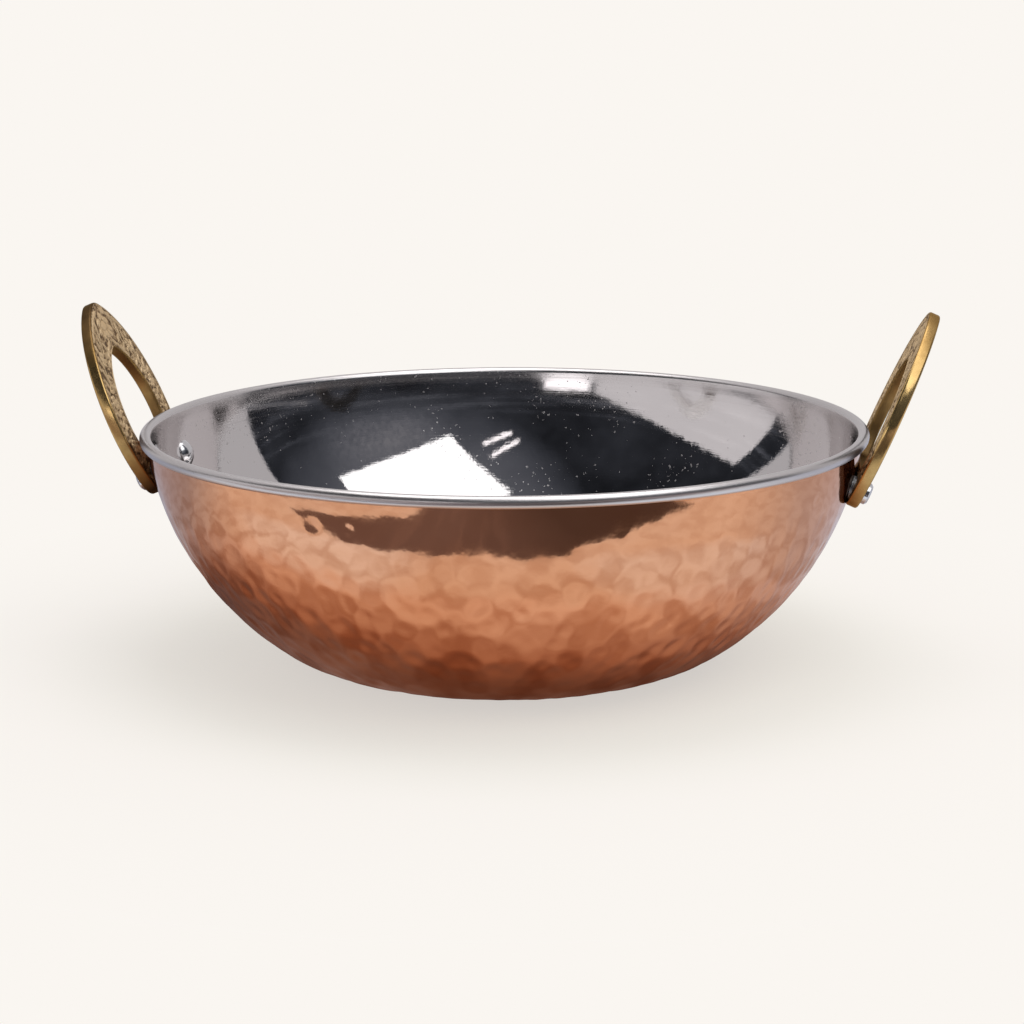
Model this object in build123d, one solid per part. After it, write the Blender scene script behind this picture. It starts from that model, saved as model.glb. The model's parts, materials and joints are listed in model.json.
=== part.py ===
from build123d import *
import math
import os

# A kadai with two skins: a hammered copper bowl outside, a steel bowl nested in it whose edge is
# rolled out over the copper, and two cast brass handles held by rivets near the rim.
# Lengths are millimetres and angles degrees. Z is up, X runs from handle to handle, -Y is the front,
# and the origin is the middle of the flat base.

# Bowl, over everything
rim_diameter = 250.0
rim_height = 82.0
base_diameter = 107.0
heel_radius = 48.0
heel_angle = 35.0

# Skins
copper_thickness = 1.0
steel_thickness = 0.8
nest_clearance = 0.1
roll_turn = 270.0

# Handle plate, measured in its own plane: up from the level of the rim, and its toe down from the rivets
handle_width = 62.0
handle_rise = 44.5
handle_toe = 6.0
handle_shoulder = 2.0
handle_foot_width = 42.0
handle_foot_corner = 8.0
handle_tip_radius = 10.0
handle_thickness = 4.0
handle_edge_radius = 0.8
handle_rim_gap = 1.6
handle_seat_gap = 0.54
handle_wall_clearance = 0.3

# Finger opening in the handle
grip_width = 39.0
grip_rise = 26.8
grip_drop = 12.0
grip_shoulder = 1.0
grip_foot_width = 28.0
grip_corner = 4.0

# Rivets and the collars round them
rivet_spacing = 35.0
rivet_drop = 16.0
shank_diameter = 3.8
shank_clearance = 0.05
seat_clearance = 0.02
head_diameter = 9.1
head_height = 2.5
head_brim = 0.5
head_skirt = 0.4
tail_diameter = 7.5
tail_height = 2.2
tail_chamfer = 0.7
collar_diameter = 8.0
cut_overrun = 5.0

# Sizes that follow from those above
rim_radius = rim_diameter / 2
base_radius = base_diameter / 2
sheet_stack = copper_thickness + nest_clearance + steel_thickness
bead_radius = sheet_stack + nest_clearance
bead_centre_r = rim_radius - bead_radius
bead_centre_z = rim_height - bead_radius
rivet_height = rim_height - rivet_drop


def wall_arc():
    """Centre, radius and end angle of the wall's arc, which leaves the heel and meets the bead."""
    sine = math.sin(math.radians(heel_angle))
    cosine = math.cos(math.radians(heel_angle))
    run = bead_centre_r - base_radius
    climb = bead_centre_z - heel_radius
    reach = heel_radius + nest_clearance
    shift = (run**2 + climb**2 - reach**2) / (2 * (reach - run * sine + climb * cosine))
    centre_r = base_radius - shift * sine
    centre_z = heel_radius + shift * cosine
    end_angle = math.degrees(math.atan2(bead_centre_r - centre_r, centre_z - bead_centre_z))
    return centre_r, centre_z, heel_radius + shift, end_angle


wall_centre_r, wall_centre_z, wall_radius, wall_end_angle = wall_arc()


def skin_curve(inset):
    """Floor, heel and wall of a surface that lies inset inside the copper's outer face."""
    floor = Line((0, inset), (base_radius, inset))
    heel = JernArc(floor @ 1, (1, 0), heel_radius - inset, heel_angle)
    wall = JernArc(heel @ 1, heel % 1, wall_radius - inset, wall_end_angle - heel_angle)
    return floor, heel, wall


def bowl_space(inset):
    """Everything inside the surface at inset, up to the middle of the bead, as one solid."""
    curve = skin_curve(inset)
    top = curve[-1] @ 1
    lid = Line(top, (0, top.Y))
    axis = Line((0, top.Y), (0, inset))
    return revolve(Plane.XZ * make_face([*curve, lid, axis]), Axis.Z)


def wall_point(inset, y):
    """Point of the surface at inset that lies at the rivets' height and at y along the rim."""
    radius = wall_radius - inset
    r = wall_centre_r + math.sqrt(radius**2 - (rivet_height - wall_centre_z) ** 2)
    return Vector(math.sqrt(r**2 - y**2), y, rivet_height)


def rivet_seat(y):
    """Where a rivet's axis meets the inner face of the steel."""
    return wall_point(sheet_stack, y)


def inward_normal(point):
    """Direction square to the wall at a point of it, towards the inside of the bowl."""
    r = math.hypot(point.X, point.Y)
    across = (wall_centre_r - r) / r
    return Vector(point.X * across, point.Y * across, wall_centre_z - point.Z).normalized()


# The plate's plane lies on its inner face: X along the rim, Y up the plate, Z outwards.
# It leans so that it clears the bead at the top and the copper where the rivets cross.
handle_foot_x = wall_point(0, rivet_spacing / 2).X + handle_seat_gap
tilt = math.atan2(rim_radius + handle_rim_gap - handle_foot_x, rivet_drop)
handle_plane = Plane(
    origin=(rim_radius + handle_rim_gap, 0, rim_height),
    x_dir=(0, 1, 0),
    z_dir=(math.cos(tilt), 0, -math.sin(tilt)),
)


def rivet_bore(y):
    """Cutter for a rivet's hole through both skins and the plate."""
    seat = handle_plane.to_local_coords(rivet_seat(y))
    length = handle_thickness - seat.Z + 2 * cut_overrun
    bore = Cylinder(shank_diameter / 2 + shank_clearance, length, align=(Align.CENTER, Align.CENTER, Align.MIN))
    return handle_plane * Pos(seat.X, seat.Y, seat.Z - cut_overrun) * bore


def rivet_places():
    """The four rivets as side and distance along the rim."""
    return [(side, end * rivet_spacing / 2) for side in (-1, 1) for end in (-1, 1)]


def on_side(shape, side):
    """A shape made for the right side, or its mirror image on the left."""
    return shape if side > 0 else mirror(shape, about=Plane.YZ)


def bore_all(skin):
    """A skin with its four rivet holes."""
    for side, y in rivet_places():
        skin -= on_side(rivet_bore(y), side)
    return skin


def make_outer_shell():
    """Copper bowl, whose edge ends inside the steel's roll."""
    outer = skin_curve(0)
    inner = skin_curve(copper_thickness)
    axis = Line(outer[0] @ 0, inner[0] @ 0)
    edge = Line(outer[-1] @ 1, inner[-1] @ 1)
    shell = revolve(Plane.XZ * make_face([*outer, *inner, axis, edge]), Axis.Z)
    return bore_all(shell)


def make_inner_bowl():
    """Steel bowl with its edge rolled out and down over the copper into a hollow bead."""
    outer = skin_curve(copper_thickness + nest_clearance)
    inner = skin_curve(sheet_stack)
    axis = Line(outer[0] @ 0, inner[0] @ 0)
    bead_inside = JernArc(outer[-1] @ 1, outer[-1] % 1, bead_radius - steel_thickness, -roll_turn)
    bead_outside = JernArc(inner[-1] @ 1, inner[-1] % 1, bead_radius, -roll_turn)
    lip = Line(bead_inside @ 1, bead_outside @ 1)
    edges = [*outer, *inner, axis, bead_inside, bead_outside, lip]
    bowl = revolve(Plane.XZ * make_face(edges), Axis.Z)
    return bore_all(bowl)


def arch(width, rise, shoulder, foot_width, drop):
    """Flat-footed pointed arch, widest at its shoulder."""
    edges = [Line((-foot_width / 2, -drop), (foot_width / 2, -drop))]
    for side in (-1, 1):
        widest = (side * width / 2, shoulder)
        edges.append(TangentArc(widest, (side * foot_width / 2, -drop), tangent=(0, -1)))
        edges.append(TangentArc(widest, (0, rise), tangent=(0, 1)))
    return make_face(edges)


def make_handle():
    """Right handle: a flat arched plate with a finger opening, hollowed where its foot meets the wall."""
    drop = handle_toe - handle_plane.to_local_coords(rivet_seat(rivet_spacing / 2)).Y
    outline = arch(handle_width, handle_rise, handle_shoulder, handle_foot_width, drop)
    outline = fillet(outline.vertices().sort_by(Axis.Y)[:2], handle_foot_corner)
    outline = fillet(outline.vertices().sort_by(Axis.Y)[-1:], handle_tip_radius)
    grip = arch(grip_width, grip_rise, grip_shoulder, grip_foot_width, grip_drop)
    grip = fillet(grip.vertices().sort_by(Axis.Y)[:2], grip_corner)
    grip = fillet(grip.vertices().sort_by(Axis.Y)[-1:], grip_corner)
    plate = extrude(outline - grip, handle_thickness)
    faces = plate.faces().sort_by(Axis.Z)
    plate = fillet(faces[0].edges() + faces[-1].edges(), handle_edge_radius)
    handle = handle_plane * plate - bowl_space(-handle_wall_clearance)
    for y in (-rivet_spacing / 2, rivet_spacing / 2):
        handle -= rivet_bore(y)
    return handle


def make_rivet(y):
    """Right-side rivet: domed head square on the steel, shank, and button tail on the plate."""
    seat = rivet_seat(y)
    sides = [
        Line((0, -head_skirt), (head_diameter / 2, -head_skirt)),
        Line((head_diameter / 2, -head_skirt), (head_diameter / 2, head_brim)),
        TangentArc((0, head_height), (head_diameter / 2, head_brim), tangent=(1, 0)),
        Line((0, head_height), (0, -head_skirt)),
    ]
    head = revolve(Plane.XZ * make_face(sides), Axis.Z)
    head = Plane(origin=seat, z_dir=inward_normal(seat)) * head & bowl_space(sheet_stack + seat_clearance)
    local = handle_plane.to_local_coords(seat)
    upright = (Align.CENTER, Align.CENTER, Align.MIN)
    tail = Cylinder(tail_diameter / 2, tail_height - seat_clearance, align=upright)
    tail = chamfer(tail.faces().sort_by(Axis.Z)[-1].edges(), tail_chamfer)
    tail = Pos(0, 0, handle_thickness + seat_clearance) * tail
    shank_bottom = local.Z - head_height / 2
    shank_length = handle_thickness + tail_height / 2 - shank_bottom
    shank = Pos(0, 0, shank_bottom) * Cylinder(shank_diameter / 2, shank_length, align=upright)
    return head + handle_plane * Pos(local.X, local.Y, 0) * (shank + tail)


def make_collar(y):
    """Right-side collar round a rivet's shank, filling the wedge between the wall and the plate."""
    local = handle_plane.to_local_coords(rivet_seat(y))
    length = -local.Z - seat_clearance
    blank = Cylinder(collar_diameter / 2, length, align=(Align.CENTER, Align.CENTER, Align.MAX))
    blank = handle_plane * Pos(local.X, local.Y, -seat_clearance) * blank
    return blank - bowl_space(-seat_clearance) - rivet_bore(y)


def export_all():
    """Write each piece under its own name."""
    os.makedirs("parts", exist_ok=True)
    export_step(make_outer_shell(), "parts/outer_shell.step")
    export_step(make_inner_bowl(), "parts/inner_bowl.step")
    handle = make_handle()
    export_step(on_side(handle, -1), "parts/handle_left.step")
    export_step(handle, "parts/handle_right.step")
    for side, y in rivet_places():
        place = ("left" if side < 0 else "right") + ("_front" if y < 0 else "_back")
        export_step(on_side(make_rivet(y), side), f"parts/rivet_{place}.step")
        export_step(on_side(make_collar(y), side), f"parts/collar_{place}.step")


export_all()
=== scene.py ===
import json
import math

import bpy
import numpy as np
from mathutils import Matrix, Vector


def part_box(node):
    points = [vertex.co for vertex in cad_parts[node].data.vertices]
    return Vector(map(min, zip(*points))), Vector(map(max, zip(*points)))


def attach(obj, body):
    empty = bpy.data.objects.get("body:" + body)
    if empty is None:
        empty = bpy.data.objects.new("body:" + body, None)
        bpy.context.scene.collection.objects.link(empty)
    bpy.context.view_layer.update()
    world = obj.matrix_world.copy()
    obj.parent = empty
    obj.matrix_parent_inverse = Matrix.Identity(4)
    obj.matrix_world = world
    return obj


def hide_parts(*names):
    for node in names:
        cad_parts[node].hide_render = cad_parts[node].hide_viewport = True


# A kadai: hammered copper bowl, polished steel liner rolled over its edge, and two cast brass handles.
# Metres throughout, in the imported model's frame: Z up, X from handle to handle, -Y the front.

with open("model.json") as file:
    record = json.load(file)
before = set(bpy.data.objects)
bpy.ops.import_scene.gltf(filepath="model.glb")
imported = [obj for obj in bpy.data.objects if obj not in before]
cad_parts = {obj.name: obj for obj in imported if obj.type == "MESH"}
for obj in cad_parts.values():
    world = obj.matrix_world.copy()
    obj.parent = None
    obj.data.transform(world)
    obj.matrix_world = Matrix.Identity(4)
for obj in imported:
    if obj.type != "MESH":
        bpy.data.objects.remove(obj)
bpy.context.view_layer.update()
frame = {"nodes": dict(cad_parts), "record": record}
MM = 0.001


def mount_axis(name):
    """Axis of one of the record's mounts."""
    return next(m["axis"] for m in frame["record"]["mounts"] if m["name"] == name)


# Bowl
rim_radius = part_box("inner_bowl")[1].x
rim_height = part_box("inner_bowl")[1].z
base_radius = 53.5 * MM
heel_radius = 48.0 * MM
heel_angle = math.radians(35.0)
copper_thickness = 1.0 * MM
steel_thickness = 0.8 * MM
nest_clearance = 0.1 * MM
roll_turn = math.radians(270.0)
sheet_stack = copper_thickness + nest_clearance + steel_thickness
bead_radius = sheet_stack + nest_clearance
bead_centre_r = rim_radius - bead_radius
bead_centre_z = rim_height - bead_radius

# Handle plate, in its own plane: up from the level of the rim, and along it from the middle
handle_width = 62.0 * MM
handle_rise = 44.5 * MM
handle_drop = 24.42 * MM
handle_shoulder = 2.0 * MM
handle_foot_width = 42.0 * MM
handle_foot_corner = 8.0 * MM
handle_tip_radius = 10.0 * MM
handle_thickness = 4.0 * MM
handle_edge_radius = 0.8 * MM
handle_rim_gap = 1.6 * MM
handle_wall_clearance = 0.3 * MM
grip_width = 39.0 * MM
grip_rise = 26.8 * MM
grip_drop = 12.0 * MM
grip_shoulder = 1.0 * MM
grip_foot_width = 28.0 * MM
grip_corner = 4.0 * MM
rivet_across = 17.5 * MM
rivet_up = -18.42 * MM

# Camera, solved from the photograph: focal length in pixels of a frame that is frame_width wide
camera_focus = 2502.6
frame_width = 1024
camera_distance = 0.8714
camera_elevation = math.radians(12.253)
camera_azimuth = math.radians(6.513)
camera_roll = math.radians(-0.209)
camera_aside = 0.00249
camera_target_height = 0.05042


# Meshes


def new_object(name, vertices, faces, material):
    """A smooth-shaded mesh object from arrays of vertices and of quads or triangles."""
    mesh = bpy.data.meshes.new(name)
    mesh.from_pydata(np.asarray(vertices).tolist(), [], [list(f) for f in faces])
    mesh.shade_smooth()
    mesh.materials.append(material)
    piece = bpy.data.objects.new(name, mesh)
    bpy.context.scene.collection.objects.link(piece)
    return piece


def grid_quads(rows, columns, closed_rows=False):
    """Quads of a grid whose columns run round a closed loop, and whose rows may too."""
    last = rows if closed_rows else rows - 1
    i, j = np.meshgrid(np.arange(last), np.arange(columns), indexing="ij")
    up, along = (i + 1) % rows, (j + 1) % columns
    corners = [i * columns + j, i * columns + along, up * columns + along, up * columns + j]
    return np.stack(corners, axis=-1).reshape(-1, 4)


def carry(piece, node):
    """Let a piece stand for a node, on the one body."""
    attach(piece, "root")
    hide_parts(node)


# Bowl profile


def wall_arc():
    """Centre, radius and end angle of the wall's arc, which leaves the heel and meets the bead."""
    sine, cosine = math.sin(heel_angle), math.cos(heel_angle)
    run = bead_centre_r - base_radius
    climb = bead_centre_z - heel_radius
    reach = heel_radius + nest_clearance
    shift = (run**2 + climb**2 - reach**2) / (2 * (reach - run * sine + climb * cosine))
    centre_r = base_radius - shift * sine
    centre_z = heel_radius + shift * cosine
    end_angle = math.atan2(bead_centre_r - centre_r, centre_z - bead_centre_z)
    return centre_r, centre_z, heel_radius + shift, end_angle


wall_centre_r, wall_centre_z, wall_radius, wall_end_angle = wall_arc()


def arc_points(centre, radius, start, end, step):
    """Points and outward directions along an arc, whose angles run from straight down towards +r."""
    count = max(2, math.ceil(abs(end - start) * radius / step) + 1)
    angles = np.linspace(start, end, count)
    outward = np.column_stack([np.sin(angles), -np.cos(angles)])
    return np.array(centre) + radius * outward, outward


def skin_profile(inset, floor_step, wall_step):
    """(r, z) and outward direction from the floor's middle to the bead, inset inside the copper's face."""
    count = math.ceil(base_radius / floor_step)
    floor = np.column_stack([np.linspace(0, base_radius, count + 1)[1:-1], np.full(count - 1, inset)])
    down = np.tile([0.0, -1.0], (len(floor), 1))
    heel = arc_points((base_radius, heel_radius), heel_radius - inset, 0, heel_angle, wall_step)
    wall_centre = (wall_centre_r, wall_centre_z)
    wall = arc_points(wall_centre, wall_radius - inset, heel_angle, wall_end_angle, wall_step)
    points = np.vstack([floor, heel[0], wall[0][1:]])
    outward = np.vstack([down, heel[1], wall[1][1:]])
    return points, outward


def lathe(name, profile, columns, material, outward=None, depth=None):
    """Closed turned solid from a profile that starts and ends at the axis, its first rings pressed in."""
    angles = 2 * np.pi * np.arange(columns) / columns
    r = np.repeat(profile[1:-1, :1], columns, axis=1)
    z = np.repeat(profile[1:-1, 1:], columns, axis=1)
    if depth is not None:
        r[: len(depth)] -= depth * outward[:, :1]
        z[: len(depth)] -= depth * outward[:, 1:]
    rings = np.stack([r * np.cos(angles), r * np.sin(angles), z], axis=-1).reshape(-1, 3)
    poles = [(0, 0, profile[0, 1]), (0, 0, profile[-1, 1])]
    vertices = np.vstack([rings, poles])
    rows = len(profile) - 2
    start, end = len(rings), len(rings) + 1
    j = np.arange(columns)
    first = np.column_stack([np.full(columns, start), (j + 1) % columns, j])
    top_ring = (rows - 1) * columns
    last = np.column_stack([np.full(columns, end), top_ring + j, top_ring + (j + 1) % columns])
    faces = grid_quads(rows, columns).tolist() + first.tolist() + last.tolist()
    return new_object(name, vertices, faces, material)


# Hammered copper

hammer_columns = 840
hammer_step = 1.25 * MM
hammer_floor_step = 4.1 * MM
hidden_step = 15 * MM
blow_radius = 4.5 * MM
blow_depth = 0.72 * MM
blow_spacing = 7.1 * MM
ring_spacing = blow_spacing * 0.84
pole_radius = 4 * MM
blow_jitter = 0.2
blow_seed = 8
blow_softening = 3
swell_depth = 0.25 * MM
swell_softening = 30
swell_rows = 10
swell_columns = 15

# Shares of the profile's length between which the marks fade out under the rim
smooth_from = 0.9
smooth_to = 0.985

# Share of the blows' depth by height, in mm: shallow on the base and nearly none under the rim
field_heights = (0, 12, 26, 42, 52, 62, 76)
field_shares = (0.3, 0.62, 1.0, 0.78, 0.36, 0.18, 0.03)

# Single marks above the hammered field, at the sides and back: angles round the bowl in degrees
far_marks_from = -30
far_marks_to = 225
far_marks_step = 6.2

# Single marks at the front: angle round the bowl in degrees, height, radius and depth in mm
front_marks = (
    (-112.3, 69.7, 4.3, 0.36),
    (-106.6, 69.2, 3.9, 0.55),
    (-117.8, 66.6, 1.8, 0.08),
    (-88.0, 69.7, 3.4, 0.16),
    (-84.0, 70.5, 2.8, 0.10),
    (-66.7, 70.3, 4.2, 0.16),
    (-62.6, 69.6, 2.0, 0.13),
    (-96.0, 56.6, 1.7, 0.09),
    (-91.5, 55.6, 1.8, 0.10),
    (-85.3, 55.8, 2.0, 0.11),
    (-78.2, 55.6, 1.8, 0.11),
    (-46.5, 44.6, 3.0, 0.2),
    (-47.9, 34.0, 3.2, 0.24),
)


def hammer_blows(length, radius_at, rng):
    """Places of the hammer blows as distance up the profile, angle, radius and depth, ring by ring."""
    blows = []
    for s in np.arange(blow_spacing, length, ring_spacing):
        count = max(5, round(2 * math.pi * radius_at(s) / blow_spacing))
        turn = rng.uniform(0, 2 * math.pi)
        for k in range(count):
            up = s + rng.normal(0, blow_jitter) * blow_spacing
            angle = turn + 2 * math.pi * (k + rng.normal(0, blow_jitter)) / count
            size = rng.uniform(0.8, 1.2)
            deep = rng.uniform(0.45, 1.2)
            blows.append((up, angle, blow_radius * size, blow_depth * deep))
    return blows


def single_marks(distance, height, rng):
    """Marks above the hammered field: those at the front, and the like round the sides and back."""
    marks = [(math.radians(a), z * MM, r * MM, d * MM) for a, z, r, d in front_marks]
    for angle in np.arange(far_marks_from, far_marks_to, far_marks_step):
        place = (math.radians(angle + rng.uniform(-2.5, 2.5)), rng.uniform(50, 72) * MM)
        marks.append((*place, rng.uniform(1.5, 3.2) * MM, rng.uniform(0.06, 0.2) * MM))
    return [(np.interp(z, height, distance), angle, size, deep) for angle, z, size, deep in marks]


def press(depth, blows, distance, radius):
    """Deepen a grid where blows fall, each fading out at its edge: rows up the profile, columns round it."""
    columns = depth.shape[1]
    step = 2 * math.pi / columns
    for up, angle, size, deep in blows:
        rows = np.flatnonzero(np.abs(distance - up) < size)
        if not len(rows):
            continue
        r = max(np.interp(up, distance, radius), pole_radius)
        half = min(math.ceil(size / (r * step)), columns // 2 - 1)
        middle = round(angle / step)
        across = np.arange(middle - half, middle + half + 1)
        x = (across * step - angle) * r
        y = distance[rows] - up
        share = 1 - (x[None, :] ** 2 + y[:, None] ** 2) / size**2
        where = np.ix_(rows, across % columns)
        depth[where] = np.maximum(depth[where], deep * np.clip(share, 0, None) ** 2)


def soften(grid, times):
    """Blur a grid that is closed along its second axis."""
    for _ in range(times):
        side = (np.roll(grid, 1, axis=1) + np.roll(grid, -1, axis=1)) / 4 + grid / 2
        padded = np.pad(side, ((1, 1), (0, 0)), mode="edge")
        grid = (padded[:-2] + padded[2:]) / 4 + side / 2
    return grid


def swell(rows, columns, rng):
    """Slow unevenness of the sheet, from 0 to 1."""
    grid = rng.uniform(0, 1, (rows, columns))[::swell_rows, ::swell_columns]
    grid = np.repeat(np.repeat(grid, swell_rows, axis=0), swell_columns, axis=1)[:rows, :columns]
    grid = soften(grid, swell_softening)
    return (grid - grid.min()) / (grid.max() - grid.min())


def hammered_depth(distance, profile, columns):
    """Depth of the hammered face below the turned one, in rows up the profile and columns round it."""
    rng = np.random.default_rng(blow_seed)
    radius, height = profile[:, 0], profile[:, 1]
    length = distance[-1]
    field = np.zeros((len(distance), columns))
    press(field, hammer_blows(length, lambda s: np.interp(s, distance, radius), rng), distance, radius)
    field *= np.interp(height / MM, field_heights, field_shares)[:, None]
    field = soften(field, blow_softening)
    single = np.zeros_like(field)
    press(single, single_marks(distance, height, rng), distance, radius)
    slow = swell_depth * swell(len(distance), columns, rng)
    fade = np.interp(distance / length, [smooth_from, smooth_to], [1.0, 0.0])[:, None]
    return (np.maximum(field, single) + slow) * fade


def make_outer_shell(material):
    """Copper bowl whose outer face is hammered."""
    outer, outward = skin_profile(0, hammer_floor_step, hammer_step)
    inner, _ = skin_profile(copper_thickness, hidden_step, hidden_step)
    distance = np.cumsum(np.r_[outer[0, 0], np.hypot(*np.diff(outer, axis=0).T)])
    depth = hammered_depth(distance, outer, hammer_columns)
    loop = np.vstack([[(0, 0)], outer, inner[::-1], [(0, copper_thickness)]])
    shell = lathe("outer_shell_hammered", loop, hammer_columns, material, outward, depth)
    carry(shell, "outer_shell")


# Steel liner

steel_columns = 640


def make_inner_bowl(material):
    """Steel bowl with its edge rolled out over the copper."""
    inner, _ = skin_profile(sheet_stack, floor_step=6 * MM, wall_step=1.8 * MM)
    outer, _ = skin_profile(copper_thickness + nest_clearance, floor_step=9 * MM, wall_step=6 * MM)
    turn = (wall_end_angle + math.pi, wall_end_angle + math.pi - roll_turn)
    bead = (bead_centre_r, bead_centre_z)
    roll_outside, _ = arc_points(bead, bead_radius, *turn, step=0.3 * MM)
    roll_inside, _ = arc_points(bead, bead_radius - steel_thickness, *turn, step=0.4 * MM)
    start, end = [(0, copper_thickness + nest_clearance)], [(0, sheet_stack)]
    loop = np.vstack([start, outer[:-1], roll_inside, roll_outside[::-1], inner[-2::-1], end])
    liner = lathe("inner_bowl_polished", loop, steel_columns, material)
    carry(liner, "inner_bowl")


# Handles

relief_around = 760
relief_across = 44
edge_steps = 5
settle_rounds = 14
relief_depth = 0.42 * MM
relief_softness = 0.13 * MM
border_width = 0.95 * MM
pad_radius = 4.7 * MM
stem_wave = 13 * MM
stem_swing = 0.2
leaf_spacing = 1.75 * MM
flower_spacing = 16.5 * MM
flower_margin = 14 * MM
crown_leaf_rows = 5.6
grain_count = 420

# Heights on the plate, in mm, at which the rubbing of its outer edge is given, and its foot, most and tip
wear_heights = (-24, -15, 2, 12, 24, 32, 44)
right_edge_wear = (0.5, 1.0, 0.5)
# The left edge is darker than the right: partly wear and partly painted shade, away from the key light
left_edge_wear_and_shade = (-0.1, 0.74, 0.0)


def arch_outline(width, rise, shoulder, foot_width, drop, foot_corner, tip_radius, counts):
    """Closed flat-footed pointed arch, counterclockwise from the middle of its foot."""
    half = width / 2
    reach = abs(half - foot_width / 2)
    side_radius = (reach**2 + (shoulder + drop) ** 2) / (2 * reach)
    side_centre = np.array([half - side_radius, shoulder])
    top_radius = (half**2 + (rise - shoulder) ** 2) / (2 * half)
    top_centre = np.array([half - top_radius, shoulder])

    corner_y = foot_corner - drop
    corner_x = side_centre[0] + math.sqrt((side_radius - foot_corner) ** 2 - (corner_y - shoulder) ** 2)
    corner = np.array([corner_x, corner_y])
    corner_end = math.atan2(*(corner - side_centre)[::-1])
    tip_y = shoulder + math.sqrt((top_radius - tip_radius) ** 2 - top_centre[0] ** 2)
    tip = np.array([0.0, tip_y])
    tip_start = math.atan2(*(tip - top_centre)[::-1])

    def arc(centre, radius, start, end):
        """Points along an arc of the outline."""
        angles = np.linspace(start, end, 200)
        return centre + radius * np.column_stack([np.cos(angles), np.sin(angles)])

    foot = np.column_stack([np.linspace(0, corner_x, 100), np.full(100, -drop)])
    lower = np.vstack([foot, arc(corner, foot_corner, -math.pi / 2, corner_end),
                       arc(side_centre, side_radius, corner_end, 0)])
    upper = np.vstack([arc(top_centre, top_radius, 0, tip_start),
                       arc(tip, tip_radius, tip_start, math.pi / 2)])
    right = np.vstack([even_points(lower, counts[0]), even_points(upper, counts[1])[1:]])
    left = right[-2:0:-1] * (-1, 1)
    return np.vstack([right, left])


def even_points(line, count):
    """Points at even distances along a line of points."""
    gaps = np.hypot(*np.diff(line, axis=0).T)
    along = np.r_[0, np.cumsum(gaps)]
    wanted = np.linspace(0, along[-1], count)
    return np.column_stack([np.interp(wanted, along, line[:, k]) for k in (0, 1)])


def smooth_step(low, high, value):
    """0 below low and 1 above high, with a smooth rise between."""
    share = np.clip((value - low) / (high - low), 0, 1)
    return share * share * (3 - 2 * share)


def oval(s, t, centre, radii, soft):
    """Raised oval boss with a rounded top."""
    reach = np.hypot((s - centre[0]) / radii[0], (t - centre[1]) / radii[1])
    rim = soft / min(radii)
    return (1 - smooth_step(1 - rim, 1 + rim, reach)) * (0.72 + 0.28 * np.clip(1 - reach**2, 0, 1))


def leaf(s, t, base, angle, length, width, soft):
    """Raised pointed leaf that grows from its base, with a groove along its middle."""
    u = (s - base[0]) * math.cos(angle) + (t - base[1]) * math.sin(angle)
    v = -(s - base[0]) * math.sin(angle) + (t - base[1]) * math.cos(angle)
    half = width / 2 * np.clip(1 - (2 * u / length - 1) ** 2, 1e-4, 1) ** 0.75
    body = 1 - smooth_step(-soft, soft, np.abs(v) - half)
    crown = 0.7 + 0.3 * np.clip(1 - (v / half) ** 2, 0, 1)
    vein = 1 - 0.5 * np.exp(-((v / (0.13 * MM)) ** 2))
    return np.where((u > 0) & (u < length), body * crown * vein, 0)


def flower(s, t, centre, radii, petals, soft):
    """Raised flower: a boss, a ring round it, and petals with grooves between them."""
    x, y = (s - centre[0]) / radii[0], (t - centre[1]) / radii[1]
    reach, turn = np.hypot(x, y), np.arctan2(y, x)
    lobe = np.abs(np.cos(petals * turn / 2))
    rim = soft / min(radii)
    body = 1 - smooth_step(-rim, rim, reach - (0.72 + 0.28 * lobe))
    groove = np.exp(-((lobe / 0.3) ** 2)) * smooth_step(0.35, 0.6, reach)
    ring = np.exp(-(((reach - 0.4) / 0.07) ** 2))
    return body * (1 - 0.8 * groove) * (1 - 0.85 * ring) * (0.75 + 0.25 * np.cos(reach * math.pi) ** 2)


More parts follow.
